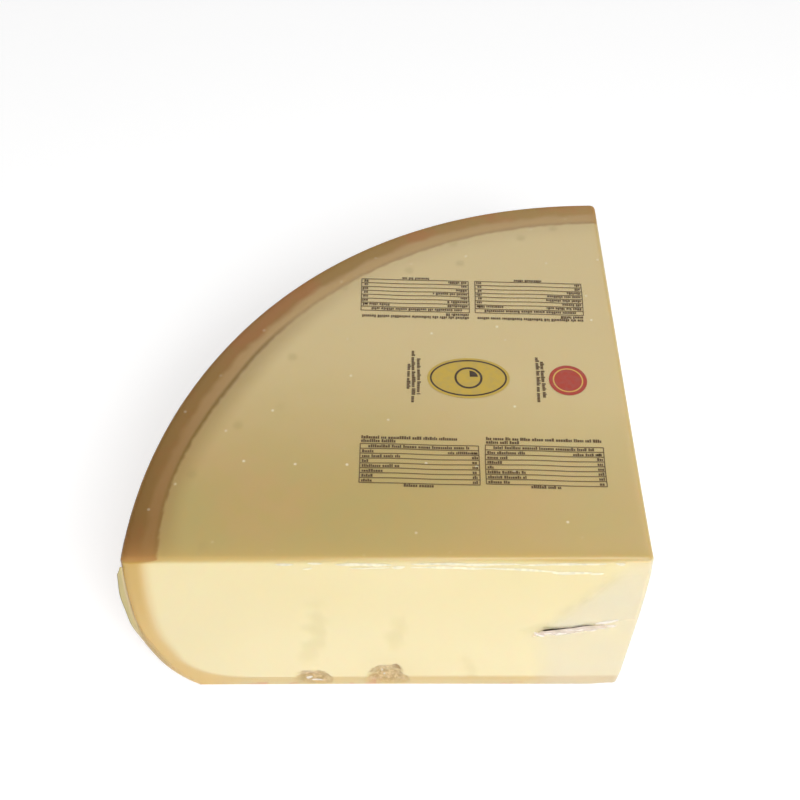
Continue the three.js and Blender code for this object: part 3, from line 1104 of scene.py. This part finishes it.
def ruled_table(sheet, rules, centre, flipped, first_line, draw):
    """A ruled table with dashes for words: a heading, rows with a label and a value, and lines of text."""
    to_top = turned(centre, PRINT_TILT + (math.pi if flipped else 0))
    wide, tall = TABLE_SIZE
    left, right, bottom, top = -wide / 2, wide / 2, -tall / 2, tall / 2
    row = tall / (ROW_COUNT + 1)
    for number in range(ROW_COUNT + 2):
        y = top - number * row
        bar(rules, to_top, left, y - LINE_WIDTH / 2, right, y + LINE_WIDTH / 2)
    for x in (left, right):
        bar(rules, to_top, x - LINE_WIDTH / 2, bottom, x + LINE_WIDTH / 2, top)
    dashes(sheet, to_top, left + 3.4, right - 3.4, top - row + 0.6, 1.45, draw)
    dashes(sheet, to_top, right - 13, right - 0.6, top - 2 * row + 0.5, 1.3, draw)
    for number in range(1, ROW_COUNT + 1):
        y = top - (number + 1) * row + 0.5
        dashes(sheet, to_top, left + 0.8, left + draw.choice((4, 6, 7.5, 10, 17)), y, 1.4, draw)
        dashes(sheet, to_top, right - 3.0, right - 0.4, y, 1.5, draw)
    dashes(sheet, to_top, left + 0.3, left + wide * first_line, top + 2.7, 1.6, draw)
    dashes(sheet, to_top, left + 0.3, left + draw.choice((11, 15)), top + 0.8, 1.6, draw)
    dashes(sheet, to_top, -6.5, 6.5, bottom - 1.7, 1.5, draw)


def ellipse(centre, wide, tall, count=64, start=0.0, end=2 * math.pi):
    angles = np.linspace(start, end, count, endpoint=end - start < 6)
    return [(centre[0] + wide * math.cos(a), centre[1] + tall * math.sin(a)) for a in angles]


def ink(name, code):
    """Ink on the film, a little uneven in strength."""
    tone = colour(code)
    faded = tuple(0.85 * c + 0.03 for c in tone[:3]) + (1.0,)

    def surface(nodes):
        uneven = nodes.ramp(nodes.noise(400.0, 2.0), 0.35, 0.75)
        inputs = {"Base Color": nodes.mix(uneven, tone, faded), "Roughness": 0.4, "Specular IOR Level": 0.4}
        return nodes.add("BsdfPrincipled", inputs)

    return material(name, surface)


BADGE_PLACE = (-68.9, 94.6)
BADGE_SIZE = (18.2, 11.6)
DISC_PLACE = (-25.1, 93.3)
DISC_SIZE = (8.4, 8.6)


def make_badge(dark):
    """A plain yellow oval with a ring and the outline of a cut wheel."""
    field = Sheet()
    field.outline(ellipse(BADGE_PLACE, *BADGE_SIZE))
    field.make("badge_field", ink("yellow_ink", "cfae45"))
    lines = Sheet(PRINT_TOP - 0.01, PRINT_TOP + 0.03)
    lines.ring(ellipse(BADGE_PLACE, 17.0, 10.5), ellipse(BADGE_PLACE, 16.2, 9.7))
    wheel = (ellipse(BADGE_PLACE, size, size, 40, math.radians(50), math.radians(400)) for size in (6.2, 5.2))
    lines.ring(*wheel)
    tip = (BADGE_PLACE[0] + 0.6, BADGE_PLACE[1] + 0.6)
    lines.outline([tip] + ellipse(tip, 3.6, 3.6, 12, 0.0, QUARTER))
    lines.make("badge_lines", dark)


def make_disc():
    """A plain red disc with a thin pale ring."""
    field = Sheet()
    field.outline(ellipse(DISC_PLACE, *DISC_SIZE))
    field.make("disc_field", ink("red_ink", "b8402c"))
    lines = Sheet(PRINT_TOP - 0.01, PRINT_TOP + 0.03)
    lines.ring(ellipse(DISC_PLACE, 6.7, 6.9), ellipse(DISC_PLACE, 6.1, 6.3))
    lines.make("disc_ring", ink("pale_ink", "e2b65a"))


# The lines of dashes between the tables, which run along Y: X, both ends and the height of the letters
UPRIGHT_LINES = [
    (-91.2, 85, 106, 1.6), (-93.4, 80.6, 110.7, 1.6), (-95.6, 88, 102.7, 1.6),
    (-36.4, 83, 104.3, 1.7), (-38.6, 80.7, 106.6, 1.7),
]


def make_print():
    draw = random.Random(11)
    sheet, rules = Sheet(), Sheet()
    ruled_table(sheet, rules, (-91.6, 47.3), False, 0.82, draw)
    ruled_table(sheet, rules, (-39.1, 46.4), False, 1.0, draw)
    ruled_table(sheet, rules, (-91.2, 145.1), True, 1.0, draw)
    ruled_table(sheet, rules, (-38.5, 143.6), True, 1.0, draw)
    for x, start, end, height in UPRIGHT_LINES:
        dashes(sheet, turned((x, end), PRINT_TILT - QUARTER), 0, end - start, 0, height, draw)
    sheet.make("print_lines", ink("brown_ink", "664e2a"))
    rules.make("print_rules", ink("faded_ink", "745e38"))
    make_badge(ink("dark_ink", "3e2a12"))
    make_disc()


# ---------------- camera, light and floor

# The photograph's view, worked out from the block's corners and arc. The angles are yaw, pitch and roll.
CAMERA_PLACE = (-113.4, -277.7, 533.8)
CAMERA_ANGLES = (2.26, 50.12, 1.79)
CAMERA_LENS = 58.35
SENSOR_WIDTH = 36.0

FLOOR_SIZE = 6000.0
FLOOR_GAP = 0.3


def aim(made, position, target):
    made.location = metres(position)
    made.rotation_euler = (Vector(metres(target)) - made.location).to_track_quat("-Z", "Y").to_euler()


def make_camera():
    yaw, pitch, roll = (math.radians(angle) for angle in CAMERA_ANGLES)
    forward = Vector((math.sin(yaw) * math.cos(pitch), math.cos(yaw) * math.cos(pitch), -math.sin(pitch)))
    right = forward.cross(Vector((0, 0, 1))).normalized()
    up = right.cross(forward)
    level_right = math.cos(roll) * right + math.sin(roll) * up
    level_up = math.cos(roll) * up - math.sin(roll) * right
    data = bpy.data.cameras.new("camera")
    data.lens = CAMERA_LENS
    data.sensor_width = SENSOR_WIDTH
    made = new_object("camera", data)
    turn = Matrix((level_right, level_up, -forward)).transposed().to_4x4()
    made.matrix_world = Matrix.Translation(metres(CAMERA_PLACE)) @ turn
    bpy.context.scene.camera = made


def area_light(name, position, target, width, height, watts):
    data = bpy.data.lights.new(name, "AREA")
    data.shape = "RECTANGLE"
    data.size = width
    data.size_y = height
    data.energy = watts
    aim(new_object(name, data), position, target)


def make_lights():
    middle = (-100, 90, 50)
    area_light("key", (120, -653, 861), middle, 0.5, 0.35, 8.2)
    area_light("left_fill", (-1200, 200, 700), middle, 0.9, 0.9, 1.0)
    area_light("right_fill", (1100, 100, 600), middle, 0.9, 0.9, 1.0)


def make_world():
    """A dim white room. A bright band behind the block, which the top mirrors, ends softly to the right."""
    world = bpy.data.worlds.new("studio")
    nodes = Nodes(world)
    direction = nodes.add("TexCoord", {}, "Generated")
    east, north, up = (nodes.add("SeparateXYZ", {"Vector": direction}, axis) for axis in range(3))
    full = nodes.ramp(east, 0.03, 0.17, 0.715, 0.68)
    gone = nodes.ramp(east, 0.03, 0.17, 0.805, 0.87)
    band = nodes.product(
        nodes.ramp(up, full, gone, 1.0, 0.0),
        nodes.ramp(up, 0.25, 0.5),
        nodes.ramp(north, 0.25, 0.55),
        nodes.ramp(east, -0.5, -0.2),
    )
    strength = nodes.ramp(band, 0.0, 1.0, 0.12, 1.75, "LINEAR")
    background = nodes.add("Background", {"Color": (1, 1, 1, 1), "Strength": strength})
    nodes.add("OutputWorld", {"Surface": background})
    bpy.context.scene.world = world


def make_floor():
    """A wide floor, lit from within so that it looks white."""
    corners = [(FLOOR_SIZE * x, FLOOR_SIZE * y, -FLOOR_GAP) for x, y in ((-1, -1), (1, -1), (1, 1), (-1, 1))]
    inputs = {
        "Base Color": (0.75, 0.75, 0.75, 1),
        "Roughness": 0.9,
        "Emission Color": (1, 1, 1, 1),
        "Emission Strength": 0.55,
    }
    floor = material("floor", lambda nodes: nodes.add("BsdfPrincipled", inputs))
    mesh = bpy.data.meshes.new("floor")
    mesh.from_pydata(metres(corners).tolist(), [], [(0, 1, 2, 3)])
    mesh.materials.append(floor)
    new_object("floor", mesh)


make_cheese()
make_film()
make_fin()
make_ear()
make_slit_shade()
make_lip()
make_pleats()
make_seal()
make_print()
make_camera()
make_lights()
make_world()
make_floor()
bpy.context.scene.view_settings.view_transform = "Standard"
